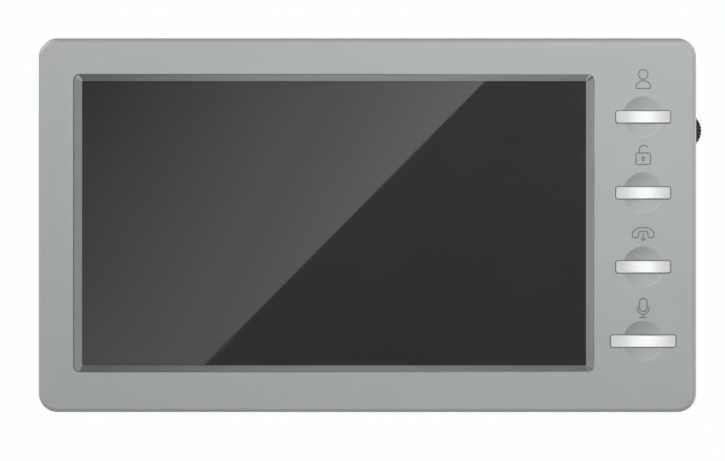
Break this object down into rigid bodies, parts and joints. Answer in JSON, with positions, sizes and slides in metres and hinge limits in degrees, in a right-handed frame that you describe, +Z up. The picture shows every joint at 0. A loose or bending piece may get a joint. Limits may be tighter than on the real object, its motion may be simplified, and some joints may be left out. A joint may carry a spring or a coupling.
{
  "type": "video intercom monitor",
  "caption": "Slim grey wall-hung indoor video intercom monitor: framed wide screen, column of bar keys in finger dishes, side thumbwheel, rear grille and sockets, steel hook bracket.",
  "frame": {"origin": "centre of the wall bracket's rear face, midway between its wall screw holes, in the wall plane", "axes": "+X to the viewer's right of the screen, +Y into the wall, +Z up; the screen faces -Y"},
  "size_m": [0.2055, 0.0258, 0.1158],
  "materials": {
    "grey_casing": "fine satin texture",
    "rear_casing_plastic": "fine matte texture",
    "bezel": "satin metallic paint",
    "window": "polished smoked acrylic",
    "button_silver": "pearl silver",
    "black_plastic": "satin",
    "wheel_black": "satin",
    "foam": "matte foam",
    "black_rubber": "matte",
    "steel": "zinc plated",
    "steel_sheet": "stamped sheet",
    "lcd_glass": "dark polished",
    "light_guide": "white diffuser",
    "board_green": "solder mask",
    "white_connector": "satin nylon",
    "red_connector": "satin nylon",
    "tinned_pins": "tin plated",
    "icon_print": "matte ink",
    "chip_black": "moulded epoxy",
    "inductor_grey": "matte ferrite",
    "capacitor_can": "satin",
    "flex_amber": "polyimide film",
    "ribbon_grey": "satin",
    "lead_sleeve": "satin",
    "paper": "pressed paper",
    "magnet_black": "satin",
    "brass_rivet": "turned",
    "capsule_can": "satin",
    "label_film": "matte film"
  },
  "bodies": {
    "wall_mount": {"wall_bracket": "steel"},
    "monitor": {"front_casing": "grey_casing", "rear_casing": "rear_casing_plastic", "casing_screws": "steel", "screen_bezel": "bezel", "screen_window": "window", "screen_gasket": "foam", "lcd_frame": "steel_sheet", "lcd_cell": "lcd_glass", "lcd_backlight": "light_guide", "lcd_strap_left": "steel_sheet", "lcd_strap_right": "steel_sheet", "lcd_strap_screws": "steel", "button_board": "board_green", "button_board_screws": "steel", "button_board_header": "white_connector", "volume_pot_base": "black_plastic", "volume_rivet": "brass_rivet", "microphone_boot": "black_rubber", "microphone_capsule": "capsule_can", "microphone_leads": "lead_sleeve", "speaker_gasket": "foam", "speaker_basket": "steel_sheet", "speaker_cone": "paper", "speaker_magnet": "magnet_black", "speaker_screws": "steel", "speaker_leads": "lead_sleeve", "main_board": "board_green", "main_board_screws": "steel", "main_board_chips": "chip_black", "power_inductors": "inductor_grey", "capacitors": "capacitor_can", "board_headers": "white_connector", "door_station_sockets": "white_connector", "power_socket": "red_connector", "socket_pins": "tinned_pins", "lcd_flex": "flex_amber", "button_ribbon": "ribbon_grey", "rating_label": "label_film", "view_switch": "black_plastic", "unlock_switch": "black_plastic", "hangup_switch": "black_plastic", "talk_switch": "black_plastic"},
    "view_key": {"view_button": "button_silver", "view_plunger": "black_plastic"},
    "unlock_key": {"unlock_button": "button_silver", "unlock_plunger": "black_plastic"},
    "hangup_key": {"hangup_button": "button_silver", "hangup_plunger": "black_plastic"},
    "talk_key": {"talk_button": "button_silver", "talk_plunger": "black_plastic"},
    "volume_knob": {"volume_wheel": "wheel_black"}
  },
  "joints": [
    {"name": "monitor_lift", "type": "slide", "parent": "wall_mount", "child": "monitor", "axis": [0, 0, 1], "range_m": [0, 0.0065]},
    {"name": "view_press", "type": "slide", "parent": "monitor", "child": "view_key", "axis": [0, 1, 0], "range_m": [0, 0.0005], "stiffness_N_per_m": 400, "springref_m": -0.002},
    {"name": "unlock_press", "type": "slide", "parent": "monitor", "child": "unlock_key", "axis": [0, 1, 0], "range_m": [0, 0.0005], "stiffness_N_per_m": 400, "springref_m": -0.002},
    {"name": "hangup_press", "type": "slide", "parent": "monitor", "child": "hangup_key", "axis": [0, 1, 0], "range_m": [0, 0.0005], "stiffness_N_per_m": 400, "springref_m": -0.002},
    {"name": "talk_press", "type": "slide", "parent": "monitor", "child": "talk_key", "axis": [0, 1, 0], "range_m": [0, 0.0005], "stiffness_N_per_m": 400, "springref_m": -0.002},
    {"name": "volume_turn", "type": "hinge", "parent": "monitor", "child": "volume_knob", "pos_m": [0.09785, -0.02, 0.0293], "axis": [0, 1, 0], "range_deg": [-135, 135]}
  ]
}
